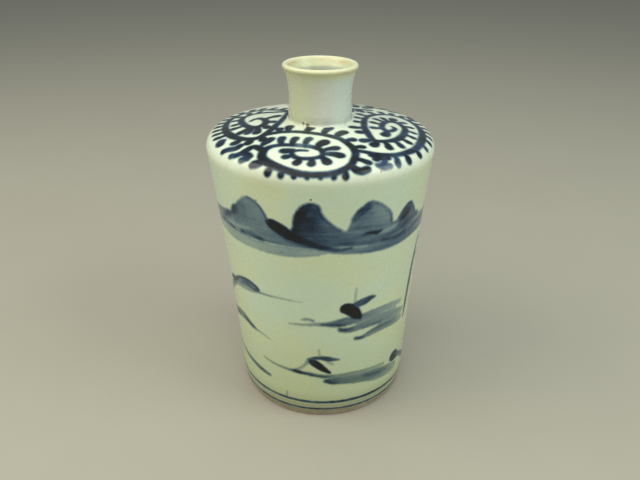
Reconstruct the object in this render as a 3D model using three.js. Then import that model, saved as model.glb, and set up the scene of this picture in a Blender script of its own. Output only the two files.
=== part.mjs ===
// Porcelain sake bottle: a tapered cylindrical body on a turned foot, a low domed shoulder with a
// rounded edge, and a short neck with a flared mouth. Units are millimetres and +Z is up. The origin
// is the centre of the foot's contact ring, so the bottle stands on z = 0.
//
// The bottle is thrown and turned on a wheel, so every piece is a solid of revolution about Z. The
// pieces are the sections that the potter makes and lutes together with slip. They meet face to face
// on level joint planes, and a fired bottle has no gap there.
import * as THREE from "three";

// ---- Driving dimensions, in millimetres and degrees ----
const baseRadius = 45.2; // outside, where the wall rises from the floor
const heelTaper = 0.6; // how far the heel draws in over the floor's thickness
const footInset = 2.6; // from the outside of the base in to the contact ring's outer edge
const footBevel = 1.2; // rounding between the contact ring and the heel
const footRingWidth = 6.6; // the contact ring, from its outer edge to its inner edge
const footHeight = 5; // depth of the recess under the floor
const floorThickness = 6;

const shoulderRadius = 56; // the widest place of the bottle
const wallHeight = 128.5; // from the floor's top to where the shoulder's rounding starts
const wallThickness = 4.5;
const wallHollow = 1.2; // how far the wall's middle stands inside a straight taper

const shoulderEdgeRadius = 6.5; // rounding from the wall onto the shoulder
const shoulderEdgeSlope = 16; // how steeply the dome leaves that rounding, in degrees
const shoulderRise = 6.9; // from the top of the rounding to the neck's seat

const neckRadius = 15.1; // outside of the neck at its narrowest
const neckWall = 3.1; // from there in to the bore
const neckFootSpread = 0.4; // how much wider the neck is where it leaves the collar
const neckTopSpread = 0.8; // how much wider it is where the mouth begins to flare
const neckHeight = 14.9; // from the collar's top to that place
const collarWidth = 2.5; // toe of the slip collar, out from the neck
const collarHeight = 3; // how far the slip collar climbs the neck

const mouthFlare = 3; // how far the lip stands out from the neck's narrowest place
const mouthHeight = 7.2; // from the neck's top to the crest of the lip
const lipRadius = 1.3; // rounding of the lip
const lipWrap = 140; // degrees of that rounding, from outside over the crest

const segments = 72; // facets round the axis
const curveSteps = 6; // facets along each long curve of a profile
const roundSteps = 4; // facets along each small curve

// ---- Radii that follow from those sizes ----
const heelRadius = baseRadius - heelTaper;
const footRadius = baseRadius - footInset;
const footRecessRadius = footRadius - footRingWidth;
const boreRadius = neckRadius - neckWall;
const neckFootRadius = neckRadius + neckFootSpread;
const neckTopRadius = neckRadius + neckTopSpread;
const collarRadius = neckFootRadius + collarWidth;
const mouthRadius = neckRadius + mouthFlare;

// ---- Levels of the joint planes ----
const floorTop = footHeight + floorThickness;
const wallTop = floorTop + wallHeight;
const seatLevel = wallTop + shoulderEdgeRadius + shoulderRise;
const collarTop = seatLevel + collarHeight;
const neckTop = collarTop + neckHeight;
const lipLevel = neckTop + mouthHeight - lipRadius; // centre of the lip's rounding

// ---- Colours, and how rough each finish is ----
const blueWhite = 0xd3d8c6;
const paintedWhite = 0xc2cbbf;
const rimWhite = 0xd6cfae;
const clayBuff = 0xc9b69b;
const glossy = 0.18;
const bare = 0.8;

const at = (radius, level) => new THREE.Vector2(radius, level);

// Points along a quadratic curve in the (radius, level) plane, both ends included.
function bend(start, control, end, steps) {
  return new THREE.QuadraticBezierCurve(start, control, end).getPoints(steps);
}

// Points along an arc in the (radius, level) plane, from one angle to another, both ends included.
function arc(centre, radius, fromDegrees, toDegrees, steps) {
  const points = [];
  for (let i = 0; i <= steps; i++) {
    const degrees = fromDegrees + ((toDegrees - fromDegrees) * i) / steps;
    const angle = THREE.MathUtils.degToRad(degrees);
    points.push(at(centre.x + radius * Math.cos(angle), centre.y + radius * Math.sin(angle)));
  }
  return points;
}

// A named solid of revolution. The outline runs anticlockwise in the (radius, level) plane: out
// along the bottom, up the outside and back along the top. An outline that starts off the axis is a
// ring's, and it is closed back to its first point.
function turned(name, outline, colour, roughness) {
  const isRing = outline[0].x > 0;
  const closed = isRing ? [...outline, outline[0].clone()] : outline;
  const geometry = new THREE.LatheGeometry(closed, segments);
  geometry.rotateX(Math.PI / 2); // the lathe turns about Y, and the bottle stands along Z
  const material = new THREE.MeshStandardMaterial({ color: colour, roughness, metalness: 0 });
  const mesh = new THREE.Mesh(geometry, material);
  mesh.name = name;
  return mesh;
}

// The ring that the bottle stands on, turned from the foot of the body and left unglazed below.
function footRing() {
  const outline = [
    at(footRecessRadius, footHeight),
    at(footRecessRadius, 0),
    at(footRadius, 0),
    at(footRadius + footBevel, footBevel),
    at(heelRadius, footHeight),
  ];
  return turned("foot_ring", outline, clayBuff, bare);
}

// The floor of the bottle. It closes the foot ring's recess, which is open to the table.
function baseFloor() {
  const outline = [
    at(0, footHeight),
    at(footRecessRadius, footHeight),
    at(heelRadius, footHeight),
    at(baseRadius, floorTop),
    at(baseRadius - wallThickness, floorTop),
    at(0, floorTop),
  ];
  return turned("base_floor", outline, blueWhite, glossy);
}

// The thrown wall: a slightly hollow taper of even thickness, widening towards the shoulder.
function bodyWall() {
  const middleRadius = (baseRadius + shoulderRadius) / 2;
  // A quadratic curve's middle moves half as far as its control point.
  const control = at(middleRadius - 2 * wallHollow, floorTop + wallHeight / 2);
  const outside = bend(at(baseRadius, floorTop), control, at(shoulderRadius, wallTop), curveSteps);
  const inside = outside.map((point) => at(point.x - wallThickness, point.y)).reverse();
  return turned("body_wall", [...outside, ...inside], paintedWhite, glossy);
}

// The low dome that closes the wall in, with a rounded edge outside and a hole for the neck.
function shoulder() {
  const edgeCentre = at(shoulderRadius - shoulderEdgeRadius, wallTop);
  const edgeEnd = 90 - shoulderEdgeSlope;
  const outerEdge = arc(edgeCentre, shoulderEdgeRadius, 0, edgeEnd, curveSteps);
  const innerEdge = arc(edgeCentre, shoulderEdgeRadius - wallThickness, edgeEnd, 0, roundSteps);

  // The dome leaves the rounding along its tangent, and its underside keeps the wall's thickness.
  const domeStart = outerEdge[outerEdge.length - 1];
  const seatRim = at(collarRadius, seatLevel);
  const middleRadius = (domeStart.x + seatRim.x) / 2;
  const slope = Math.tan(THREE.MathUtils.degToRad(shoulderEdgeSlope));
  const control = at(middleRadius, domeStart.y + (domeStart.x - middleRadius) * slope);
  const dome = bend(domeStart, control, seatRim, curveSteps);
  const undersideRim = at(boreRadius, seatLevel - wallThickness);
  const undersideControl = at(control.x, control.y - wallThickness);
  const underside = bend(undersideRim, undersideControl, innerEdge[0], curveSteps);

  const outline = [
    ...underside,
    ...innerEdge.slice(1),
    ...outerEdge,
    ...dome.slice(1),
    at(boreRadius, seatLevel),
  ];
  return turned("shoulder", outline, paintedWhite, glossy);
}

// The ring of slip that lutes the neck to the shoulder, smoothed to a hollow fillet.
function neckCollar() {
  const toe = at(collarRadius, seatLevel);
  const top = at(neckFootRadius, collarTop);
  const fillet = bend(toe, at(neckFootRadius, seatLevel), top, roundSteps);
  const outline = [at(boreRadius, collarTop), at(boreRadius, seatLevel), ...fillet];
  return turned("neck_collar", outline, blueWhite, glossy);
}

// The neck, thrown by itself: a straight bore and a faintly waisted outside.
function neck() {
  const foot = at(neckFootRadius, collarTop);
  const top = at(neckTopRadius, neckTop);
  const middleRadius = (neckFootRadius + neckTopRadius) / 2;
  const waist = 2 * (middleRadius - neckRadius);
  const control = at(middleRadius - waist, collarTop + neckHeight / 2);
  const outside = bend(foot, control, top, roundSteps);
  const outline = [at(boreRadius, neckTop), at(boreRadius, collarTop), ...outside];
  return turned("neck", outline, blueWhite, glossy);
}

// The mouth: the neck's wall turned outwards to a rounded lip that pours cleanly.
function mouthRim() {
  const lipCentre = at(mouthRadius - lipRadius, lipLevel);
  const flareMiddle = (neckTop + lipLevel) / 2;
  const flareControl = at(neckTopRadius + lipRadius / 4, flareMiddle);
  const outside = bend(at(neckTopRadius, neckTop), flareControl, at(mouthRadius, lipLevel), roundSteps);
  const lip = arc(lipCentre, lipRadius, 0, lipWrap, curveSteps);
  const lipEnd = lip[lip.length - 1];
  const throatControl = at(boreRadius + lipRadius, flareMiddle);
  const inside = bend(lipEnd, throatControl, at(boreRadius, neckTop), roundSteps);
  return turned("mouth_rim", [...outside, ...lip.slice(1), ...inside.slice(1)], rimWhite, glossy);
}

const bottle = new THREE.Group();
bottle.add(footRing(), baseFloor(), bodyWall(), shoulder(), neckCollar(), neck(), mouthRim());

export default bottle;
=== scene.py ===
# %% [markdown]
# # A blue and white sake bottle
#
# The object is a porcelain sake bottle: a wheel-thrown body, painted with a brush in cobalt blue and
# covered by a clear glaze. Its solids come from a CAD model, and this lesson builds the looks around
# them. The frame is loaded first.

import math

import bpy
import numpy as np
from mathutils import Matrix, Vector


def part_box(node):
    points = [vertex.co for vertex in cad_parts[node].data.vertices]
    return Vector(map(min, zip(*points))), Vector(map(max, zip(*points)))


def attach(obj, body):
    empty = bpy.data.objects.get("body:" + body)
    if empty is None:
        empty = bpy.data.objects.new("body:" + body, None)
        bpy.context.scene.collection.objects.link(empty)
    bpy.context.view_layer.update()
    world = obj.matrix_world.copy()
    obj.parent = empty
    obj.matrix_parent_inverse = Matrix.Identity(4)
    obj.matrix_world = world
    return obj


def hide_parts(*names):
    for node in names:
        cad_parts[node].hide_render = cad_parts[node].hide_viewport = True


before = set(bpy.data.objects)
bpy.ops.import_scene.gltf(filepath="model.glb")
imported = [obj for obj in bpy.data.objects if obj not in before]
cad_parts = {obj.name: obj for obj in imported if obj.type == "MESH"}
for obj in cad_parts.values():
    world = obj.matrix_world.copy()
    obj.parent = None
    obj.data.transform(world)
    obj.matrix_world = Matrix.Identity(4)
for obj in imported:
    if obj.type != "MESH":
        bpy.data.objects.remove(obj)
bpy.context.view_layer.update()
MM = 0.001

# %% [markdown]
# ## The camera
#
# The camera comes first, because every later choice is judged through it. It stands in front of the
# bottle, a little above its mouth, and looks down by some 28 degrees, as a person does who has a
# bottle on the table at arm's length.

# %% Place the camera
CAMERA_BACK = 291.6 * MM  # in front of the axis
CAMERA_HEIGHT = 236.6 * MM
CAMERA_PITCH = 27.6  # degrees below level
CAMERA_TURN = 0.28  # degrees to the left
CAMERA_ROLL = 0.5  # degrees, as a hand holds it
CAMERA_LENS = 34.3  # with Blender's 36 mm wide sensor

bpy.ops.object.select_all(action="DESELECT")
aim = (
    Matrix.Rotation(math.radians(CAMERA_TURN), 3, "Z")
    @ Matrix.Rotation(math.radians(90 - CAMERA_PITCH), 3, "X")
    @ Matrix.Rotation(math.radians(CAMERA_ROLL), 3, "Z")
)
bpy.ops.object.camera_add(location=(0, -CAMERA_BACK, CAMERA_HEIGHT), rotation=aim.to_euler())
camera = bpy.context.object
camera.name = "camera"
camera.data.lens = CAMERA_LENS
camera.data.clip_start = 0.01
bpy.context.scene.camera = camera
print("camera:", [round(v, 4) for v in camera.location])

# %% [markdown]
# ## Levels and radii
#
# Every size that the CAD model also has is read from the frame, so that the fine pieces end where the
# solids end. Each CAD piece is a section of the bottle between two level joint planes, and its box
# gives the plane's height and the widest radius. What a box can't tell, such as a wall's thickness,
# is a named value. Sizes are in millimetres until a piece is made.

# %% Read the sizes
def top_of(node):
    """The level of a node's upper joint plane, in millimetres."""
    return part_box(node)[1].z / MM


def width_of(node):
    """A node's widest radius, in millimetres."""
    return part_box(node)[1].x / MM


FOOT_TOP = top_of("foot_ring")
FLOOR_TOP = top_of("base_floor")
WALL_TOP = top_of("body_wall")
SEAT = top_of("shoulder")
COLLAR_TOP = top_of("neck_collar")
NECK_TOP = top_of("neck")
MOUTH_TOP = top_of("mouth_rim")

HEEL = width_of("foot_ring")
BASE = width_of("base_floor")
SHOULDER = width_of("body_wall")
COLLAR = width_of("neck_collar")
NECK_SHOULDER = width_of("neck")
MOUTH = width_of("mouth_rim")

FOOT = 42.6  # outer edge of the contact ring
FOOT_RECESS = 36  # its inner edge
FOOT_BEVEL = 1.2
FOOT_EDGE = 0.5  # worn rounding of the contact ring
WALL = 4.5
WALL_HOLLOW = 1.2
EDGE = 6.5  # rounding from the wall onto the shoulder
EDGE_SLOPE = 16  # degrees, where the dome leaves the rounding
BORE = 12
NECK_FOOT = 15.5
NECK_WAIST = 15.1
LIP = 1.3
LIP_WRAP = 140  # degrees of the lip's rounding, from the outside over the crest
SINK = 1.6  # how far the shoulder sags towards the neck, below the CAD model's seat
NECK_SEAT = SEAT - SINK
print("levels:", [round(v, 1) for v in (FOOT_TOP, FLOOR_TOP, WALL_TOP, SEAT, NECK_TOP, MOUTH_TOP)])

# %% [markdown]
# ## Turning a piece
#
# A thrown pot is a solid of revolution, so each piece is modelled as the potter's rib would cut it. A
# plane primitive is collapsed to a single point, the point is extruded along the outline, and the
# spin tool carries the outline round the axis. The doubles at the seam and at the poles are merged
# and the normals are recalculated. A subdivided cylinder would work too, but an outline gives exact
# control of the curve, and its points can be as close as the brush painting needs.

# %% Helpers for outlines
def bend(start, control, end, steps):
    """Points along a quadratic curve from start to end, both included."""
    t = np.linspace(0, 1, steps + 1)[:, None]
    a, b, c = (np.array(p, float) for p in (start, control, end))
    return [tuple(p) for p in (1 - t) ** 2 * a + 2 * t * (1 - t) * b + t**2 * c]


def arc(centre, radius, first, last, steps):
    """Points along an arc between two angles in degrees, both included."""
    angles = np.radians(np.linspace(first, last, steps + 1))
    return [(centre[0] + radius * math.cos(a), centre[1] + radius * math.sin(a)) for a in angles]


PLAIN_SEGMENTS = 288
WALL_SEGMENTS = 420  # the painted pieces need closer points
SHOULDER_SEGMENTS = 600
SMOOTH_UP_TO = 40  # degrees; a sharper corner stays a crease


def turned(name, outline, segments=PLAIN_SEGMENTS):
    """Spins an outline of (radius, level) points in millimetres into a closed piece."""
    ring = outline[0][0] > 0
    points = outline + [outline[0]] if ring else outline
    bpy.ops.object.select_all(action="DESELECT")
    bpy.ops.mesh.primitive_plane_add(size=MM, location=(0, 0, 0))
    piece = bpy.context.object
    piece.name = name
    piece.data.name = name
    bpy.ops.object.mode_set(mode="EDIT")
    bpy.ops.mesh.select_all(action="SELECT")
    bpy.ops.mesh.merge(type="CENTER")
    here = Vector((0, 0, 0))
    first = Vector((points[0][0], 0, points[0][1])) * MM
    bpy.ops.transform.translate(value=first - here)
    here = first
    for radius, level in points[1:]:
        there = Vector((radius, 0, level)) * MM
        bpy.ops.mesh.extrude_region_move(TRANSFORM_OT_translate={"value": there - here})
        here = there
    bpy.ops.mesh.select_all(action="SELECT")
    bpy.ops.mesh.spin(steps=segments, angle=math.tau, center=(0, 0, 0), axis=(0, 0, 1))
    bpy.ops.mesh.select_all(action="SELECT")
    bpy.ops.mesh.remove_doubles(threshold=0.005 * MM)
    bpy.ops.mesh.normals_make_consistent(inside=False)
    bpy.ops.object.mode_set(mode="OBJECT")
    bpy.ops.object.shade_smooth_by_angle(angle=math.radians(SMOOTH_UP_TO))
    print("turned:", name, len(piece.data.vertices), "vertices")
    return piece


# %% [markdown]
# ## The seven pieces
#
# The outlines follow the CAD sections, with three changes that only an eye can see. Neighbouring
# curves share their tangents, so that a reflection runs over a joint without a kink, the edges of the
# foot and the lip are rounder, and the shoulder sags a little towards the neck. The wall and the
# shoulder get the most points, about three quarters of a millimetre apart, because the painting is
# stored on them.

# %% Turn the foot ring and the floor
foot_ring = turned(
    "foot_ring_turned",
    [(FOOT_RECESS, FOOT_TOP)]
    + arc((FOOT_RECESS + FOOT_EDGE, FOOT_EDGE), FOOT_EDGE, 180, 270, 4)
    + arc((FOOT - FOOT_EDGE, FOOT_EDGE), FOOT_EDGE, 270, 315, 3)
    + bend((FOOT + FOOT_BEVEL * 0.6, FOOT_BEVEL * 0.7), (FOOT + FOOT_BEVEL, 1.6), (HEEL, FOOT_TOP), 8),
)
base_floor = turned(
    "base_floor_glazed",
    [(0, FOOT_TOP), (FOOT_RECESS, FOOT_TOP)]
    + bend((HEEL, FOOT_TOP), (HEEL + 0.35, 0.5 * (FOOT_TOP + FLOOR_TOP)), (BASE, FLOOR_TOP), 9)
    + [(BASE - WALL, FLOOR_TOP), (0, FLOOR_TOP)],
    WALL_SEGMENTS,
)

# %% Turn the wall
wall_control = (0.5 * (BASE + SHOULDER) - 2 * WALL_HOLLOW, 0.5 * (FLOOR_TOP + WALL_TOP))
wall_lean = math.atan2(SHOULDER - wall_control[0], WALL_TOP - wall_control[1])
wall_end = (SHOULDER - EDGE * (1 - math.cos(wall_lean)), WALL_TOP - EDGE * math.sin(wall_lean))
wall_outside = bend((BASE, FLOOR_TOP), wall_control, wall_end, 170)
wall_inside = bend((BASE, FLOOR_TOP), wall_control, wall_end, 6)
body_wall = turned(
    "body_wall_painted",
    wall_outside + [(radius - WALL, level) for radius, level in reversed(wall_inside)],
    WALL_SEGMENTS,
)

# %% Turn the shoulder
edge_centre = (SHOULDER - EDGE, WALL_TOP)
outer_edge = arc(edge_centre, EDGE, -math.degrees(wall_lean), 90 - EDGE_SLOPE, 18)
dome_start = outer_edge[-1]
dome_middle = 0.5 * (dome_start[0] + COLLAR)
dome_climb = (dome_start[0] - dome_middle) * math.tan(math.radians(EDGE_SLOPE))
dome_control = (dome_middle, dome_start[1] + dome_climb)
dome = bend(dome_start, dome_control, (COLLAR, NECK_SEAT), 62)
under_control = (dome_middle, dome_control[1] - WALL)
dome_under = bend((BORE, NECK_SEAT - WALL), under_control, (SHOULDER - EDGE, WALL_TOP + 1), 8)
shoulder = turned(
    "shoulder_painted",
    dome_under
    + [(wall_end[0] - WALL, wall_end[1])]
    + outer_edge
    + dome[1:]
    + [(BORE, NECK_SEAT)],
    SHOULDER_SEGMENTS,
)

# %% Turn the collar, the neck and the mouth
neck_middle = 0.5 * (NECK_FOOT + NECK_SHOULDER)
neck_control = (neck_middle - 2 * (neck_middle - NECK_WAIST), 0.5 * (COLLAR_TOP + NECK_TOP))
neck_out = (NECK_SHOULDER - neck_control[0]) / (NECK_TOP - neck_control[1])
FLARE_TURN = 3.4  # how far above the neck the flare turns outwards
LIP_LEAN = 32  # degrees, the flare's slope where it meets the lip

fillet_start = (NECK_FOOT + 1.5, NECK_SEAT + 0.15)
fillet_corner = (NECK_FOOT + 0.1, NECK_SEAT + 0.25)
neck_collar = turned(
    "neck_collar_slip",
    [(BORE, COLLAR_TOP), (BORE, NECK_SEAT)]
    + bend((COLLAR, NECK_SEAT), (COLLAR - 0.5, NECK_SEAT + 0.05), (NECK_FOOT + 1.8, NECK_SEAT + 0.1), 3)
    + bend(fillet_start, fillet_corner, (NECK_FOOT, NECK_SEAT + 1.8), 12)
    + bend((NECK_FOOT, SEAT + 0.6), (NECK_FOOT, SEAT + 1.8), (NECK_FOOT, COLLAR_TOP), 3),
)
neck = turned(
    "neck_thrown",
    [(BORE, NECK_TOP), (BORE, COLLAR_TOP)]
    + bend((NECK_FOOT, COLLAR_TOP), neck_control, (NECK_SHOULDER, NECK_TOP), 24),
)
lip_centre = (MOUTH - LIP, MOUTH_TOP - LIP)
lip = arc(lip_centre, LIP, -LIP_LEAN, LIP_WRAP, 20)
flare_control = (NECK_SHOULDER + FLARE_TURN * neck_out, NECK_TOP + FLARE_TURN)
mouth_rim = turned(
    "mouth_rim_flared",
    bend((NECK_SHOULDER, NECK_TOP), flare_control, lip[0], 14)
    + lip[1:]
    + bend(lip[-1], (BORE + LIP, NECK_TOP + 0.5 * (MOUTH_TOP - NECK_TOP)), (BORE, NECK_TOP), 12)[1:],
)
PIECES = {
    foot_ring: "foot_ring",
    base_floor: "base_floor",
    body_wall: "body_wall",
    shoulder: "shoulder",
    neck_collar: "neck_collar",
    neck: "neck",
    mouth_rim: "mouth_rim",
}
print("pieces:", len(PIECES))

# %% [markdown]
# ## Brush painting as distances
#
# The blue painting lies under the glaze, so it belongs to the finish and not to the shape. Each brush
# stroke is a row of points with a half width, as a loaded brush leaves it, and for every point of a
# piece the script works out how deep it lies inside the nearest stroke and how strong the blue is
# there. The material later turns that depth into a soft, slightly ragged edge. A distance keeps an
# edge sharp between the points of a mesh, which a colour stored on them would not.

# %% Helpers for strokes
REACH = 3.0  # a stroke is measured this far outside its edge, in millimetres
BLEND = 0.3  # where strokes overlap, one that lies this much deeper counts e times as much


def smoothed(path, closed=False, steps=5):
    """A Catmull-Rom curve through rows of numbers."""
    path = np.array(path, float)
    if closed:
        framed = np.vstack([path[-1], path, path[:2]])
    else:
        framed = np.vstack([2 * path[0] - path[1], path, 2 * path[-1] - path[-2]])
    t = (np.arange(steps) / steps)[:, None]
    curve = []
    for a, b, c, d in zip(framed, framed[1:], framed[2:], framed[3:]):
        square = (2 * a - 5 * b + 4 * c - d) * t**2
        cube = (3 * b - a - 3 * c + d) * t**3
        curve.append(0.5 * (2 * b + (c - a) * t + square + cube))
    rows = np.vstack(curve)
    return rows if closed else np.vstack([rows, path[-1]])


def along(points, start, end):
    """Each point's distance to the line from start to end, and how far along it lies, from 0 to 1."""
    line = end - start
    share = np.clip((points - start) @ line / max(line @ line, 1e-9), 0, 1)
    return np.linalg.norm(points - start - share[:, None] * line, axis=1), share


class Painting:
    """The strokes on a piece. places has two numbers for each point, and flat() makes them millimetres."""

    def __init__(self, piece, places, shown, flat):
        self.piece = piece
        self.places = places
        self.shown = shown
        self.flat = flat
        self.layers = {}
        for layer in ("wash", "line"):
            deepest = np.full(len(places), -REACH)
            weight = np.full(len(places), 1e-9)
            self.layers[layer] = [deepest, weight, np.zeros(len(places))]

    def near(self, path):
        """The points near a path, and both in millimetres round the path's middle."""
        middle = path[:, :2].mean(axis=0)
        points = self.flat(self.places, middle)
        strokes = self.flat(path[:, :2], middle)
        room = REACH + (path[:, 2].max() if path.shape[1] > 3 else 0)
        inside = (points > strokes.min(axis=0) - room) & (points < strokes.max(axis=0) + room)
        close = np.all(inside, axis=1)
        return np.nonzero(close)[0], points[close], strokes

    def lay(self, layer, where, depth, strength, press=1.0):
        """Adds a stroke to a layer. A stroke with more press wins where it lies over others."""
        deepest, weight, total = self.layers[layer]
        deepest[where] = np.maximum(deepest[where], depth)
        pull = press * np.exp(np.clip(depth, -REACH, 0.5) / BLEND)
        weight[where] += pull
        total[where] += pull * strength

    def stroke(self, layer, path, strength=1.0, press=1.0):
        """Rows of across, up, half width, and if need be a share of the strength."""
        path = smoothed([row if len(row) == 4 else (*row, 1.0) for row in path])
        where, points, strokes = self.near(path)
        best = np.full(len(where), -REACH)
        tone = np.ones(len(where))
        for i in range(len(path) - 1):
            distance, share = along(points, strokes[i], strokes[i + 1])
            depth = path[i, 2] + share * (path[i + 1, 2] - path[i, 2]) - distance
            deeper = depth > best
            best[deeper] = depth[deeper]
            tone[deeper] = (path[i, 3] + share * (path[i + 1, 3] - path[i, 3]))[deeper]
        self.lay(layer, where, best, strength * tone, press)

    def fill(self, layer, outline, strength=1.0):
        """Rows of across, up, and if need be a share of the strength near that place."""
        outline = smoothed([row if len(row) == 3 else (*row, 1.0) for row in outline], closed=True)
        where, points, edge = self.near(outline)
        inside = np.zeros(len(where), bool)
        nearest = np.full(len(where), 1e9)
        tone = np.zeros(len(where))
        share_sum = np.zeros(len(where))
        for a, b, share in zip(edge, np.roll(edge, -1, axis=0), outline[:, 2]):
            crosses = (a[1] > points[:, 1]) != (b[1] > points[:, 1])
            slope = (b[0] - a[0]) / (b[1] - a[1]) if b[1] != a[1] else 0
            inside ^= crosses & (points[:, 0] < a[0] + slope * (points[:, 1] - a[1]))
            distance, _ = along(points, a, b)
            nearest = np.minimum(nearest, distance)
            pull = 1 / (distance**2 + 1)
            tone += pull * share
            share_sum += pull
        depth = np.maximum(np.where(inside, nearest, -nearest), -REACH)
        self.lay(layer, where, depth, strength * tone / share_sum)

    def ring(self, layer, level, half_width, strength):
        """A line right round the piece. All three are functions of the angle."""
        angles, levels = self.places.T
        depth = half_width(angles) - np.abs(levels - level(angles))
        self.lay(layer, np.arange(len(levels)), np.maximum(depth, -REACH), strength(angles))

    def keep(self):
        """Stores every layer on the piece's points."""
        for layer, (deepest, weight, total) in self.layers.items():
            values = {"depth": np.where(self.shown, deepest, -REACH), "strength": total / weight}
            for word, column in values.items():
                attribute = self.piece.data.attributes.new(layer + "_" + word, "FLOAT", "POINT")
                attribute.data.foreach_set("value", column.astype(np.float32))
            covered = float(np.mean(deepest[self.shown] > 0)) if self.shown.any() else 0
            print("painted:", self.piece.name, layer, "covers", round(100 * covered), "% of its points")


def places_of(piece):
    """The radius, the level and the angle of each point. The angle is 0 in front and grows to the right."""
    co = np.empty(3 * len(piece.data.vertices), np.float32)
    piece.data.vertices.foreach_get("co", co)
    x, y, z = co.reshape(-1, 3).T.astype(float) / MM
    return np.hypot(x, y), z, np.degrees(np.arctan2(x, -y))


# %% [markdown]
# ## Painting the side
#
# Round the side runs a landscape: a band of mountains under the shoulder, boats on still water, and
# two thin rings above the foot. The side is painted in its own plane, with the angle across and the
# level up. A wash comes first, and the darker lines lie over it. What repeats is one function: a
# water stroke, a boat, a mountain.

# %% Plane of the side
def round_the_side(places, middle):
    """Angles and levels become millimetres, at the side's width at the stroke's own level."""
    radius = np.interp(middle[1], [FLOOR_TOP, WALL_TOP], [BASE, SHOULDER]) - 1.5
    across = (places[:, 0] - middle[0] + 180) % 360 - 180
    return np.column_stack([math.radians(1) * radius * across, places[:, 1]])


SWELL = 2.5  # how much fuller the lower right is
SWELL_FULL = 60  # the level below which the wall is swollen in full
SWELL_NONE = 126  # the level above which it is not
DRIFT = 2.1  # degrees that the swelling moves a stroke that lies 45 degrees to the right


def swollen(level):
    """The share of the swelling at a level: all of it low on the wall, none at the shoulder."""
    return np.clip((SWELL_NONE - level) / (SWELL_NONE - SWELL_FULL), 0, 1)


def side_painting(piece):
    """The painting moves on where the wall will swell, so that it keeps its place seen from the front."""
    radius, level, angle = places_of(piece)
    drift = DRIFT * np.tan(np.radians(np.clip(angle, 0, 70))) * np.clip((150 - angle) / 70, 0, 1)
    angle = angle + drift * swollen(level)
    wall_radii, wall_levels = np.array(wall_outside).T
    outside = radius > np.interp(level, wall_levels, wall_radii) - 2
    return Painting(piece, np.column_stack([angle, level]), outside, round_the_side)


# %% Mountains
def mountain(art, outline, strength, ridge=(), dabs=()):
    """A peak as one wash, its ridge as a thin darker line, and a few dabs for trees and rocks."""
    art.fill("wash", outline, strength)
    if ridge:
        art.stroke("line", ridge, 0.36)
    for path in dabs:
        art.stroke("wash", path, 0.78, press=5)


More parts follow.
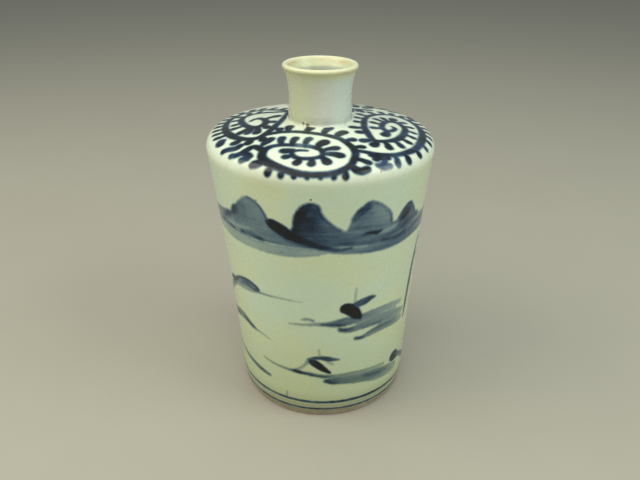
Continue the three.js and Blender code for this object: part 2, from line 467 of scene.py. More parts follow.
def mountain_band(art):
    art.fill("wash", [
        (-92, 109, 1), (-75, 112.5, 1), (-57, 115.5, 0.9), (-48, 117, 1), (-30, 117, 0.9), (-16, 115, 1.2),
        (0, 117, 1.4), (12, 115.5, 1), (26, 117, 1), (38, 115.5, 1), (50, 117, 1.2), (60, 113.5, 1),
        (75, 111.5, 1), (92, 109, 1), (92, 103.5, 0.5), (74, 104.5, 0.5), (55, 105, 0.8), (40, 104.5, 0.9),
        (22, 105, 0.8), (2, 106.5, 1.2), (-12, 106.8, 0.8), (-30, 107, 1), (-46, 106.5, 0.8),
        (-62, 106.5, 0.8), (-78, 104, 0.6),
    ], 0.46)
    art.stroke("wash", [
        (-92, 104.5, 2.2, 0.7), (-70, 104.6, 1.6, 0.7), (-52, 104, 2.4, 0.9), (-36, 103.8, 2.4, 0.9),
        (-18, 104, 2.6, 1.1), (-4, 104.8, 2, 1), (6, 106, 1, 0.9),
    ], 0.24)
    art.stroke("wash", [
        (4, 105.6, 0.9, 0.6), (16, 104.6, 1.2, 0.8), (32, 103.8, 1.6), (46, 104.2, 1.9), (60, 105, 1.8),
        (76, 104.6, 1.6), (92, 104, 1.5),
    ], 0.5)
    for path in [
        [(12, 109, 1.2), (24, 108.2, 1.4), (38, 109.6, 1.2), (52, 112, 1.3), (60, 114, 1)],
        [(-16, 110.6, 1.4), (-6, 109.4, 2), (4, 109, 2.2), (13, 110.6, 1.6), (20, 112, 1)],
        [(40, 105.8, 1, 0.8), (52, 107, 1.4), (66, 108.6, 1.4), (80, 108, 1.2)],
    ]:
        art.stroke("wash", path, 0.62, press=3)
    for path in [
        [(6, 107.4, 0.8), (14, 106.8, 0.9), (24, 106.6, 0.7)],
        [(27, 111.4, 0.5), (36, 112.4, 0.8), (46, 114.4, 0.5)],
        [(-60, 108.8, 0.6), (-48, 110.4, 1), (-38, 111.4, 0.7)],
        [(56, 110.8, 0.5), (66, 111.4, 0.7), (78, 110.4, 0.5)],
    ]:
        art.stroke("wash", path, 0.2, press=4)
    mountain(art, [
        (-51, 110, 1), (-50, 117, 1.6), (-45, 122.3, 1.5), (-40.5, 126.2, 1), (-36, 128.5, 0.9),
        (-32, 127.5, 0.9), (-28, 124.3, 0.9), (-25.5, 119.5, 1), (-23, 114, 1), (-20, 109.5, 1),
        (-35, 108.5, 0.9),
    ], 0.4, [
        (-37.5, 128, 0.3, 0.6), (-33.5, 127.9, 0.4), (-29.5, 125.6, 0.45), (-26.8, 121.5, 0.5),
        (-25.3, 118, 0.4, 0.6),
    ], [
        [(-50.5, 112, 1.2, 0.3), (-49, 116.5, 1.5, 0.9), (-46.5, 120, 1.3), (-43, 121.6, 0.8, 0.6)],
        [(-44, 108.4, 0.8), (-38, 109, 1, 0.8), (-30, 108, 0.9)],
        [(-66, 108, 0.8, 0.7), (-58, 109, 0.6), (-50, 108, 0.8, 0.8)],
        [(-62, 110.8, 0.8, 0.6), (-55, 114, 1.1), (-51, 115.5, 0.9)],
    ])
    mountain(art, [
        (-13, 112, 1.5), (-12.4, 119, 1.6), (-11, 124.5, 1.7), (-8, 128.4, 1.7), (-4, 130, 1.4),
        (-0.5, 129, 1), (1, 125, 0.8), (4, 121, 0.7), (8, 117.6, 0.7), (12, 114, 0.8), (4, 110, 1),
        (-6, 110, 1.3),
    ], 0.66, [
        (-0.5, 128, 0.5), (0.5, 124.5, 0.6), (3.5, 121.3, 0.55), (7, 118.4, 0.5), (11, 116.3, 0.4, 0.6),
    ], [
        [(-11.3, 118, 1.2), (-9.5, 123.5, 1.5, 1.2), (-6, 127.3, 1.5, 1.1), (-2.2, 128.4, 1, 0.8)],
        [(-8, 117, 2, 0.9), (-5.5, 121, 2, 1), (-4.5, 124.5, 1.4, 0.8)],
    ])
    mountain(art, [
        (13, 112, 0.9), (14.5, 118.5, 0.9), (16.5, 123, 1), (20, 127.2, 1.1), (24, 129.2, 1),
        (28.5, 127.2, 0.7), (33, 124.2, 0.7), (36.3, 121, 0.7), (37.8, 116.5, 0.9), (38, 110, 1),
        (26, 108.5, 1),
    ], 0.46, [
        (21.5, 128.5, 0.3, 0.5), (25, 129.2, 0.45), (29.5, 127, 0.5), (33.6, 124, 0.45),
        (36.6, 120.6, 0.5), (37.8, 116.4, 0.55),
    ], [
        [(16.5, 121, 1.2, 0.7), (19.5, 124.5, 1.9, 0.9), (23, 126.8, 1.6, 0.9)],
        [(20.5, 121, 1.5, 0.6), (25, 123.2, 1.2, 0.6)],
        [(21.5, 112.3, 0.6), (25, 113.2, 0.8, 1.3), (29.5, 112.4, 1.1, 1.5), (32, 113.3, 0.5)],
        [(15.5, 117.5, 1.1, 0.6), (19, 117, 0.7, 0.8), (26, 116.5, 0.8, 0.6)],
    ])
    mountain(art, [
        (41, 112, 1), (43.5, 118, 1.2), (46.5, 121.3, 1.3), (50, 122.8, 1.2), (53, 121, 1), (56, 117, 1),
        (61, 113.5, 0.9), (64, 110, 0.9), (52, 108, 1),
    ], 0.5, [
        (42.5, 117, 0.4), (46, 121, 0.6), (50, 122.4, 0.6), (53.2, 120.4, 0.5), (56, 116.8, 0.4),
    ], [
        [(43, 113, 0.7), (47, 116.5, 1.5, 1.2), (50, 119, 1.4, 1)],
        [(45, 111.3, 0.8, 0.9), (50, 113, 1.4), (53.5, 114.5, 0.8, 0.7)],
    ])
    art.stroke("line", [
        (-25.6, 118.4, 1, 0.9), (-23, 117.4, 2.4), (-18.5, 115.2, 2.8), (-14, 112.8, 2.3, 0.92),
        (-8, 110.6, 1.7, 0.8), (-2, 108.6, 1.3, 0.68), (4, 107, 0.9, 0.56), (10, 106.4, 0.5, 0.4),
    ], 1.0)
    art.stroke("line", [(0, 106.8, 0.6), (8, 106, 0.7), (16, 106.4, 0.5)], 0.55)
    art.stroke("line", [(33, 107.5, 0.7), (42, 106.8, 1.1), (50, 108, 0.8)], 0.4)


# %% [markdown]
# The boats are two or three touches each: a heavy slanting stroke for the hull, where the brush was
# pressed down, a thinner one for the sail, and a faint mast. Their water is drawn with a wide, half
# empty brush from left to right.

# %% Boats, water and shores
def boat(art, hull, sail, mast):
    art.stroke("line", hull, 1.1)
    art.stroke("line", sail, 0.68)
    art.stroke("line", mast, 0.22)


def strokes(art, layer, strength, paths):
    for path in paths:
        art.stroke(layer, path, strength)


def boats_in_front(art):
    boat(
        art,
        [(13.6, 71.2, 1.6), (15, 72, 2.8), (18, 70.6, 3.2), (21, 67.6, 2.5), (23.6, 65, 0.9)],
        [(18.5, 73.3, 0.9), (21.5, 73.6, 1.7), (25.5, 74.4, 2), (29.5, 75.6, 1.4), (32.6, 75.8, 0.5, 0.8)],
        [(19.8, 76, 0.5), (20, 80, 0.5), (20.2, 83.5, 0.35)],
    )
    strokes(art, "wash", 1, [
        [(-18, 61.8, 0.4, 0.2), (-9, 62.4, 0.6, 0.24), (0, 63.2, 0.9, 0.3), (6, 63, 1.4, 0.42),
         (13, 63.6, 2.4, 0.48), (22, 64.4, 2, 0.42), (32, 65.4, 2.2, 0.34), (44, 65.8, 1.9, 0.26),
         (57, 64.6, 1.2, 0.16)],
        [(12, 59, 1.1, 0.46), (17, 58.3, 1.4, 0.42), (24, 59.2, 1.8, 0.38), (36, 60.2, 2.4, 0.36),
         (48, 59.4, 2.4, 0.34), (61, 57.6, 1.6, 0.2)],
        [(22, 52, 0.7, 0.5), (26, 52, 0.9, 0.46), (32, 53.3, 1.6, 0.34), (41, 54.8, 2.4, 0.36),
         (50, 54.4, 2.6, 0.34), (60, 53, 1.8, 0.22)],
        [(22, 61.8, 1, 0.3), (36, 62.6, 1.2, 0.28), (52, 62, 1, 0.2)],
        [(38, 57, 1, 0.26), (52, 56.8, 1.2, 0.26)],
    ])
    strokes(art, "line", 0.36, [
        [(-10.5, 65.4, 0.5), (-7.5, 65.9, 0.8), (-4, 65.3, 0.6)],
        [(1, 62.8, 0.5), (8, 62.6, 0.6), (14, 61.8, 0.5)],
        [(11.5, 59.8, 0.5), (15, 58.6, 0.8), (19, 58.8, 0.6)],
        [(21.5, 52.2, 0.7), (26.5, 51.9, 0.7)],
        [(30, 54, 0.5, 0.7), (42, 55.2, 0.6, 0.9), (54, 54, 0.5, 0.5)],
        [(26, 57.9, 0.4, 0.6), (40, 58.4, 0.5, 0.7)],
    ])
    boat(
        art,
        [(-5.6, 39, 1.2), (-4.6, 38.4, 1.9), (-1.5, 36.4, 1.9), (2, 33.8, 1.4), (5.6, 31.6, 0.6)],
        [(-7.4, 40.2, 0.7), (-3.5, 41.2, 0.9), (0.5, 41.5, 1.2), (5, 40.7, 1.5), (8.5, 40.2, 0.9),
         (11.6, 39.9, 0.4)],
        [(-0.6, 42.5, 0.45), (-0.6, 45, 0.45), (-1.2, 47, 0.35)],
    )
    strokes(art, "wash", 1, [
        [(-8, 38.6, 0.6, 0.3), (-9.5, 36.4, 0.6, 0.26), (-12.5, 34, 0.6, 0.22), (-16, 32.4, 0.5, 0.18)],
        [(-39, 33.4, 0.5, 0.22), (-30, 32, 0.6, 0.26), (-20, 31.2, 0.7, 0.36), (-10, 30.6, 0.9, 0.44),
         (0, 29.2, 1, 0.44), (9, 28.6, 1.3, 0.36), (20, 28.4, 1.6, 0.32), (34, 27.9, 1.5, 0.26),
         (46, 27.6, 1.1, 0.18)],
        [(3.5, 25.6, 1.2, 0.54), (8, 25.5, 2, 0.52), (15, 25.4, 2.5, 0.46), (24, 24.8, 2.9, 0.42),
         (34, 23.8, 3.2, 0.44), (44, 22.5, 3.2, 0.4), (54, 21.3, 2.6, 0.3), (62, 20.2, 1.8, 0.2)],
        [(34, 20.6, 1, 0.28), (48, 19.2, 1.4, 0.26), (62, 18, 1, 0.16)],
        [(5, 38.2, 0.4, 0.22), (8, 37, 0.4, 0.2)],
    ])
    strokes(art, "line", 0.8, [
        [(-17.6, 31.2, 0.5), (-15.5, 31.2, 0.9), (-12.5, 30.7, 0.7), (-8, 30.2, 0.55, 0.7),
         (-2, 29.3, 0.5, 0.5), (4, 28.6, 0.45, 0.35)],
        [(3, 26.6, 0.5, 0.4), (6, 24.6, 0.7, 0.5), (10, 24.3, 0.5, 0.35)],
        [(30, 25, 0.6, 0.3), (40, 23.6, 0.7, 0.32), (50, 22.2, 0.5, 0.25)],
    ])
    art.stroke("line", [
        (55.5, 27.2, 1.6), (57.5, 27.5, 3), (60, 27.2, 3.2), (63, 26, 2.2, 0.8), (68, 24.6, 1.6, 0.6),
        (76, 21, 1.8, 0.55), (84, 16.5, 1.5, 0.45), (92, 13.5, 0.9, 0.3),
    ], 1.0)


def shores(art):
    """Low shores on the left: a dark rock, a double arch and a long thin line into the water."""
    art.stroke("line", [(-69, 72, 1), (-66, 72.6, 1.9), (-62.5, 73.6, 1.4, 0.8), (-58, 75.6, 0.8, 0.6)], 0.85)
    art.fill("wash", [
        (-61, 74.5, 1.2), (-56, 77.5, 1), (-50, 79.2, 1), (-45, 79.9, 1.2), (-40, 78.8, 1.3),
        (-36.5, 76.8, 1), (-40, 74.2, 0.6), (-50, 72.6, 0.6), (-58, 71.6, 0.8), (-66, 70, 1),
        (-68, 71.5, 1.2),
    ], 0.34)
    strokes(art, "line", 0.55, [
        [(-58, 76.2, 0.6), (-52, 78.6, 0.6), (-45, 79.6, 0.7), (-40, 78.6, 0.7), (-37.5, 77, 0.9),
         (-40, 76, 0.7), (-47, 76.4, 0.6, 0.8), (-54, 75, 0.6, 0.6)],
        [(-51, 77, 0.6, 0.7), (-46.5, 77.8, 0.8, 0.8), (-43, 77, 0.7, 0.7)],
        [(-38, 75.4, 0.5, 0.6), (-29, 75.9, 0.5, 0.5), (-20, 76.2, 0.5, 0.45), (-10, 76, 0.4, 0.3)],
        [(-57, 52.8, 0.8, 0.6), (-50, 51.3, 0.8, 0.9), (-44.5, 50, 0.6, 0.6), (-38, 49, 0.45, 0.5),
         (-33, 47.6, 0.4, 0.4)],
        [(-67, 50.6, 1.3, 0.9), (-63, 51.4, 0.9, 0.6)],
        [(-58, 25.2, 0.6, 0.4), (-50, 24.2, 0.7, 0.6), (-42, 22.8, 0.7, 0.7), (-36, 22.3, 0.5, 0.5)],
    ])
    strokes(art, "wash", 1, [
        [(-62, 71.6, 1.2, 0.4), (-70, 67, 1.6, 0.4), (-77, 61.6, 1.8, 0.4), (-86, 58, 1.8, 0.36),
         (-96, 57, 1.2, 0.26)],
        [(-92, 44, 1.6, 0.4), (-80, 47.4, 2, 0.44), (-70, 50.2, 1.9, 0.42), (-62, 52.2, 2.2, 0.4),
         (-56, 52.6, 2, 0.36), (-50, 51.2, 1.4, 0.4), (-45, 50, 0.8, 0.36)],
        [(-76, 29.5, 1.2, 0.3), (-66, 26.8, 1.4, 0.3), (-56, 25.2, 1.4, 0.32), (-46, 23.6, 1.4, 0.34),
         (-36, 22.3, 0.9, 0.34)],
    ])


# %% [markdown]
# The back of the bottle carries on in the same hand: more peaks in the band, a cliff with a bent
# pine whose tall trunk shows from the front at the right edge, one more boat and low banks.

# %% The back of the side
FAR_PEAKS = [  # middle, height, half width, strength
    (84, 119, 9, 0.44), (108, 127, 13, 0.46), (133, 121, 10, 0.5), (160, 128.5, 14, 0.42),
    (190, 122, 11, 0.5), (217, 127.5, 13, 0.44), (244, 121, 11, 0.48), (268, 118, 9, 0.42),
]
FAR_WATER = [  # start, level, length, strength
    (128, 59, 34, 0.3), (138, 56, 44, 0.36), (146, 51, 36, 0.34), (186, 36, 30, 0.28), (196, 33, 44, 0.42),
    (206, 29, 40, 0.38), (110, 30, 46, 0.36), (122, 25, 40, 0.34), (232, 76, 26, 0.3), (96, 38, 30, 0.3),
    (176, 82, 22, 0.22),
]


def landscape_behind(art):
    for middle, height, width, strength in FAR_PEAKS:
        mountain(art, [
            (middle - width, 110, 1),
            (middle - 0.8 * width, 115, 1.2),
            (middle - 0.4 * width, height - 3, 1.4),
            (middle, height, 1.1),
            (middle + 0.4 * width, height - 3.6, 0.8),
            (middle + 0.8 * width, 114, 0.9),
            (middle + width, 109.5, 1),
            (middle, 108, 1),
        ], strength, [
            (middle, height - 0.2, 0.4),
            (middle + 0.35 * width, height - 3, 0.5),
            (middle + 0.75 * width, 115, 0.45),
        ], [
            [(middle - 0.7 * width, 114, 1, 0.7), (middle - 0.4 * width, height - 5, 1.5, 0.9)],
            [(middle - 3, 111.5, 0.8), (middle + 3, 112.4, 1), (middle + 7, 111.6, 0.6)],
        ])
    art.fill("wash", [
        (88, 111, 1), (110, 113.5, 1), (140, 112, 1), (170, 113.5, 1), (200, 112, 1), (235, 113.5, 1),
        (272, 111, 1), (272, 104, 0.5), (235, 103, 0.6), (200, 104, 0.6), (165, 102.5, 0.6),
        (130, 104, 0.6), (88, 103.5, 0.5),
    ], 0.42)
    art.stroke("line", [
        (120, 117, 0.9), (123, 115, 2.1), (128, 112.4, 1.9), (135, 110, 1.3, 0.8), (146, 107.6, 0.7, 0.5),
    ], 0.95)
    art.stroke("line", [
        (73, 98, 0.9, 0.6), (71.5, 92, 1.4, 0.8), (69.6, 84, 1.8), (68.2, 75, 1.9, 0.9), (67.4, 66, 1.8),
        (66.8, 58, 1.5), (66.2, 50.5, 0.8, 0.6),
    ], 0.74)
    strokes(art, "line", 0.5, [
        [(72, 92, 0.5), (77, 94, 0.8), (83, 93.6, 0.6)],
        [(70, 83, 0.5), (77, 86.4, 0.9), (85, 86, 1.2), (91, 84, 0.6)],
        [(84, 96, 0.8), (88, 97.6, 1.3), (93, 96.4, 0.8)],
        [(83, 89, 0.8), (88, 90.6, 1.2), (94, 89, 0.8)],
        [(92, 79.5, 0.7), (97, 80.8, 1.1), (103, 79.6, 0.7)],
    ])
    art.fill("wash", [
        (80, 54, 0.6), (84, 64, 0.9), (90, 70, 1), (98, 71.5, 1.1), (104, 66, 1), (108, 56, 1),
        (112, 48, 0.7), (100, 44, 0.5), (88, 46, 0.5),
    ], 0.4)
    strokes(art, "line", 0.6, [
        [(85, 62, 0.7), (90, 69.6, 0.9), (97, 71.6, 0.9), (103.5, 66.6, 1), (107.5, 57, 0.8, 0.7)],
        [(94, 66, 0.8), (95, 59, 1, 0.8), (93, 52, 0.7, 0.5)],
    ])
    boat(
        art,
        [(147, 66.4, 1.4), (149, 67, 2.4), (152, 65.6, 2.6), (155.5, 62.6, 1.8), (158, 60.6, 0.7)],
        [(152, 68.2, 0.8), (155, 68.6, 1.5), (159, 69.6, 1.7), (163, 70.4, 0.9)],
        [(153, 71, 0.45), (153.4, 75, 0.45), (153.6, 78, 0.35)],
    )
    boat(
        art,
        [(206, 42.4, 1.2), (207.6, 42, 2), (211, 39.6, 1.9), (215, 36.4, 0.9)],
        [(204.6, 43.6, 0.6), (209, 44.6, 1.1), (215, 44, 1.4), (220, 43, 0.5)],
        [(210.6, 46, 0.45), (210.2, 50, 0.35)],
    )
    for start, level, length, strength in FAR_WATER:
        art.stroke("wash", [
            (start, level + 0.4, 0.5, 0.7),
            (start + 0.2 * length, level, 1.2),
            (start + 0.5 * length, level + 0.8, 2, 0.9),
            (start + 0.8 * length, level + 0.3, 1.7, 0.7),
            (start + length, level - 0.4, 0.8, 0.5),
        ], strength)
        art.stroke("line", [
            (start + 1, level, 0.5),
            (start + 0.15 * length, level - 0.4, 0.7),
            (start + 0.3 * length, level - 0.2, 0.5, 0.5),
        ], strength + 0.12)
    art.fill("wash", [
        (238, 70, 1), (246, 76, 1), (256, 78.4, 1), (264, 76, 1), (272, 71, 0.8), (262, 69, 0.6),
        (250, 68.6, 0.6),
    ], 0.36)
    art.stroke("line", [
        (236, 70.4, 1.4), (242, 73.6, 1, 0.8), (250, 77.6, 0.7, 0.7), (258, 78.6, 0.8, 0.8),
    ], 0.7)


# %% [markdown]
# Two rings stand above the foot. The potter turned the bottle on a wheel against a still brush, so
# they waver a little, and they are stronger where the brush was fresh.

# %% Foot rings
UPPER_RING = 10.7
LOWER_RING = 5.75


def wavering(level, drift):
    """A ring's level, round the piece."""
    def here(angle):
        return level - drift * np.sin(np.radians(angle)) + 0.12 * np.sin(np.radians(3 * angle))
    return here


def loaded(base, more=0, middle=0, spread=1):
    """A width or strength that may grow round the angle where the brush was fresh."""
    def here(angle):
        away = (angle - middle + 180) % 360 - 180
        return base + more * np.exp(-((away / spread) ** 2))
    return here


def foot_rings(art):
    upper_width = loaded(0.68, 0.14, 22, 26)
    upper_strength = loaded(0.74, 0.16, 25, 34)
    art.ring("line", wavering(UPPER_RING, 0.5), upper_width, upper_strength)
    art.ring("line", wavering(LOWER_RING, 0.3), loaded(0.68), loaded(0.8))
    art.stroke("line", [(-24, 11, 0.35), (-23.2, 13, 0.4), (-22.6, 15.4, 0.2)], 0.4)


for piece in (body_wall, base_floor, foot_ring):
    art = side_painting(piece)
    foot_rings(art)
    if piece == body_wall:
        mountain_band(art)
        boats_in_front(art)
        shores(art)
        landscape_behind(art)
    art.keep()

# %% [markdown]
# ## Painting the shoulder
#
# The shoulder carries the old scrolling vine that collectors call octopus scroll: four large curls,
# each with comma-shaped leaves on its outer side. It is painted in the plane of the shoulder, seen
# from above, with the neck in the middle and the front of the bottle below. The rounding at its edge
# is flattened out, so that a leaf that runs over the edge keeps its length.

# %% Plane of the shoulder
dome_radii = [row[0] for row in reversed(dome)]
dome_levels = [row[1] for row in reversed(dome)]
EDGE_TURN = math.radians(90 - EDGE_SLOPE)


def flattened(radius):
    """The distance from the axis along the surface, for a radius seen from above."""
    turn = np.arccos(np.clip((radius - edge_centre[0]) / EDGE, -1, 1))
    over_edge = dome_start[0] + EDGE * (EDGE_TURN - np.minimum(turn, EDGE_TURN))
    return np.where(radius > dome_start[0], over_edge, radius)


def from_above(rows):
    """Moves strokes given as seen from above into the flattened plane."""
    spread = []
    for x, y, *rest in rows:
        radius = math.hypot(x, y)
        scale = float(flattened(np.array(radius))) / radius
        spread.append((x * scale, y * scale, *rest))
    return spread


def shoulder_painting(piece):
    radius, level, angle = places_of(piece)
    turn = np.arctan2(level - edge_centre[1], radius - edge_centre[0])
    on_edge = np.abs(np.hypot(radius - edge_centre[0], level - edge_centre[1]) - EDGE) < 0.3
    on_dome = np.abs(level - np.interp(radius, dome_radii, dome_levels)) < 0.3
    over_edge = dome_start[0] + EDGE * (EDGE_TURN - turn)
    flat_radius = np.where(on_edge & (turn < EDGE_TURN), over_edge, radius)
    across = flat_radius * np.sin(np.radians(angle))
    away = -flat_radius * np.cos(np.radians(angle))
    places = np.column_stack([across, away])
    return Painting(piece, places, on_edge | on_dome, lambda rows, middle: rows)


# %% The vine
LONGEST_LEAF = 10  # a tip further from the stem than this gets no leaf


def tooth(art, stem, tip, strength):
    """A comma leaf from the nearest stretch of stem that has the tip on its left, outside the curl."""
    x, y, size = tip
    best, root, way = 1e9, None, None
    for a, b in zip(stem[:-1], stem[1:]):
        line = b[:2] - a[:2]
        ahead = (x - a[0]) * line[0] + (y - a[1]) * line[1]
        share = min(1, max(0, ahead / max(line @ line, 1e-9)))
        foot = a[:2] + share * line
        side = line[0] * (y - foot[1]) - line[1] * (x - foot[0])
        distance = math.hypot(x - foot[0], y - foot[1])
        if side > 0 and distance < best:
            best, root, way = distance, foot, line / (np.linalg.norm(line) + 1e-9)
    if root is None or best > LONGEST_LEAF:
        return
    middle = 0.45 * root + 0.55 * np.array([x, y]) - 0.4 * way
    art.stroke("line", from_above([
        (root[0], root[1], 1.1), (middle[0], middle[1], 0.9 * size), (x, y, 1.15 * size),
        (x + 0.3 * (x - middle[0]), y + 0.3 * (y - middle[1]), 0.75 * size),
    ]), strength)


def turned_rows(rows, degrees):
    """Strokes turned about the bottle's axis."""
    c, s = math.cos(math.radians(degrees)), math.sin(math.radians(degrees))
    return [(c * x - s * y, s * x + c * y, *rest) for x, y, *rest in rows]


def vine(art, stem, tips, turn=0, strength=0.78):
    """A stem and its leaves. Seen from above, the stem runs clockwise."""
    stem, tips = turned_rows(stem, turn), turned_rows(tips, turn)
    art.stroke("line", from_above(stem), strength)
    curve = smoothed([row if len(row) == 4 else (*row, 1.0) for row in stem])
    for number, tip in enumerate(tips):
        tooth(art, curve, tip, strength * (1.04 + 0.1 * math.sin(2.4 * number)))


FRONT_STEM = [
    (-24.5, -21.8, 1.5), (-20, -20.8, 1.4), (-15, -20.5, 1.4), (-10, -21, 1.4), (-5, -22.4, 1.4),
    (0, -24, 1.4), (5, -26, 1.5), (9.5, -28.8, 1.5), (12.7, -33, 1.5), (14.8, -36.8, 1.6),
    (15.6, -40.4, 1.6), (15, -44.8, 1.5), (13.3, -49.4, 1.4), (10.5, -52.2, 1.3), (6.1, -54.1, 1.3),
    (1, -54.8, 1.2), (-4.1, -54.7, 1.2), (-10.1, -53.6, 1.3), (-15.2, -51.6, 1.5), (-19.9, -48.7, 1.9),
    (-23.4, -45.4, 2.1), (-24.9, -42, 1.9), (-24.6, -38.2, 1.8), (-23, -35.6, 1.6), (-20.2, -34.3, 1.4),
    (-16, -34, 1.3), (-12, -34.6, 1.4, 0.75), (-7.5, -35.4, 1.6, 0.6), (-3, -36.8, 1.4, 0.75),
    (0.4, -39, 1.3), (1.6, -41.6, 1.3), (0.9, -44.2, 1.2), (-2, -45.6, 1.1), (-5.4, -46, 1.1),
    (-8.8, -45.5, 1.1), (-11.2, -43.8, 1.2), (-12, -41.8, 1.1), (-11.4, -40.2, 1), (-9.5, -39.5, 0.8),
    (-7.5, -39.5, 0.7), (-5.4, -39.9, 0.6),
]
FRONT_LEAVES = [
    (-17, -27.6, 1.6), (-11, -28.6, 1.5), (-4.8, -29.2, 1.5), (2, -32.4, 2), (7, -37.4, 1.5),
    (8.6, -43, 1.8), (3.2, -48.3, 1.7), (-3.4, -49.8, 1.5), (-9.6, -48.8, 1.5), (-14.6, -44, 1.4),
    (-18.6, -16.8, 1.6), (-14.2, -14.4, 1.6), (-4.4, -16.6, 1.7), (4.2, -16.8, 1.7), (10.6, -21.2, 1.9),
    (14.8, -28.4, 1.6), (18.8, -34.6, 1.2), (20.6, -46.4, 1.4), (11, -54.2, 1.2), (-21.8, -50.8, 1.4),
    (-16.2, -53, 1.2), (-10.6, -54.3, 1), (-5, -55.15, 0.9), (0.6, -55.35, 0.9), (6.1, -55, 1),
    (-28, -45.8, 1.4),
]
RIGHT_STEM = [
    (15.8, -38.4, 1.2), (20, -38.7, 1.2), (24, -39.4, 1.4), (28.9, -39.1, 1.5), (34.4, -36.8, 1.4),
    (39.6, -32.4, 1.5), (43.7, -27.1, 1.6), (46.8, -19.4, 1.8), (48.7, -11.1, 1.7), (49.2, -3.3, 1.5),
    (48, 4, 1.4), (45.2, 10.2, 1.4), (41, 14.4, 1.4), (35.5, 15.4, 1.3), (30, 12.8, 1.2), (25.4, 8, 1.2),
    (22.4, 2.6, 1.2), (21.2, -4, 1.3), (20.9, -10, 1.4), (21.1, -15, 1.5), (21.9, -19.6, 1.6),
    (22.9, -23.8, 1.5), (24.4, -26.8, 1.4), (27, -27.2, 1.3), (30.2, -26, 1.3), (33.4, -24, 1.5),
    (36.3, -20.7, 1.6), (38.8, -15.7, 1.6), (40.6, -9.5, 1.5), (40.7, -4.9, 1.4), (39.2, -0.8, 1.4),
    (36.7, 1.4, 1.4), (33.7, 0.9, 1.3), (31.4, -1.7, 1.3), (29.7, -6.2, 1.3), (29.4, -10.4, 1.4),
    (30.8, -13.4, 1.5), (33, -13.4, 1.4), (34.9, -11.2, 1.1), (35.7, -8.4, 0.9), (34.6, -6.8, 0.7),
]
RIGHT_LEAVES = [
    (24.2, -31.4, 1.8), (31, -32, 1.5), (36.8, -28.4, 1.4), (41, -23, 1.3), (43.8, -16.2, 1.2),
    (44.8, -9.4, 1.2), (44.2, -2, 1.2), (41.4, 3.8, 1.3), (36.4, 7, 1.8), (31, 5.4, 1.2), (27.2, 2, 1.2),
    (25.4, -4.2, 1.2), (25, -12, 1.4), (30.2, -19, 1.9), (24.4, -43.2, 1.5), (34, -42.2, 1.4),
    (39.2, -37.8, 1.4), (44.8, -30.6, 1.4), (48.8, -23.2, 1.3), (51.6, -15.8, 1.3), (52.8, -9.4, 1.2),
    (53.2, -3.2, 1.2), (52.4, 3, 1.2), (50.4, 9, 1.2), (48, 15, 1.3), (43, 19.4, 1.3), (37, 20.6, 1.3),
    (31, 18.8, 1.3), (25, 14.6, 1.3), (19.4, 8.6, 1.2), (17.6, 2, 1.2), (17.4, -5, 1.3),
    (15.4, -13.6, 1.5), (18.2, -19.4, 1.7), (19.6, -28.4, 1.7),
]
LEFT_CURL = [
    (-34, -0.6, 0.8), (-32.6, 1.6, 1), (-30, 2.2, 1.3), (-27.4, -0.4, 1.4), (-26, -4.8, 1.6),
    (-26.8, -8.6, 1.7), (-29, -10.8, 1.7), (-32.4, -10.4, 1.6), (-35.6, -7, 1.6), (-38, -1.4, 1.5),
    (-39.4, 4.4, 1.4), (-38.4, 9.6, 1.4), (-35.2, 12.6, 1.3), (-31, 13.4, 1.3), (-26, 12.6, 1.2),
    (-21, 11.8, 1.1), (-17, 11.6, 0.9),
]
LEFT_STEM = [
    (-15.6, 13, 0.9), (-16.4, 8, 1.1), (-17.3, 2, 1.2), (-18.5, -3.5, 1.3), (-20.4, -9.8, 1.5),
    (-22.8, -16.8, 1.5), (-25.4, -22, 1.7), (-28.6, -24.8, 1.5), (-33, -24.4, 1.5), (-37.4, -21.8, 1.7),
    (-41, -17.6, 1.9), (-44.2, -11.6, 1.7), (-46.2, -3.5, 1.5), (-46.4, 5.6, 1.4), (-44.6, 13.4, 1.4),
    (-40.6, 19.2, 1.4), (-35, 21.6, 1.3), (-29, 20.6, 1.3), (-23, 17.4, 1.2), (-18.4, 14.6, 1.1),
    (-16, 12.6, 0.9),
]
LEFT_LEAVES = [
    (-41.6, -8.4, 1.4), (-42, -2.6, 1.3), (-43, 5.4, 1.2), (-41.8, 12.2, 1.2), (-36.8, 16.8, 1.2),
    (-31, 17, 1.1), (-37.4, -15.8, 1.6), (-33.6, -17, 1.6), (-29.4, -18, 1.7), (-24.8, -13, 1.7),
    (-22.6, -5.6, 1.6), (-21.4, 3.6, 1.5), (-25.6, -27, 1.7), (-32.2, -28.4, 1.7), (-38.6, -26.4, 1.8),
    (-48.4, -16.4, 1.4), (-50, -10.8, 1.3), (-51, -5, 1.3), (-51.4, 1, 1.3), (-50.8, 7.2, 1.3),
    (-49, 13.4, 1.3), (-46.8, 19.4, 1.3), (-42, 24.4, 1.3), (-36, 26.8, 1.3), (-30, 26, 1.3),
    (-24, 22.8, 1.3), (-18.6, 19, 1.2),
]
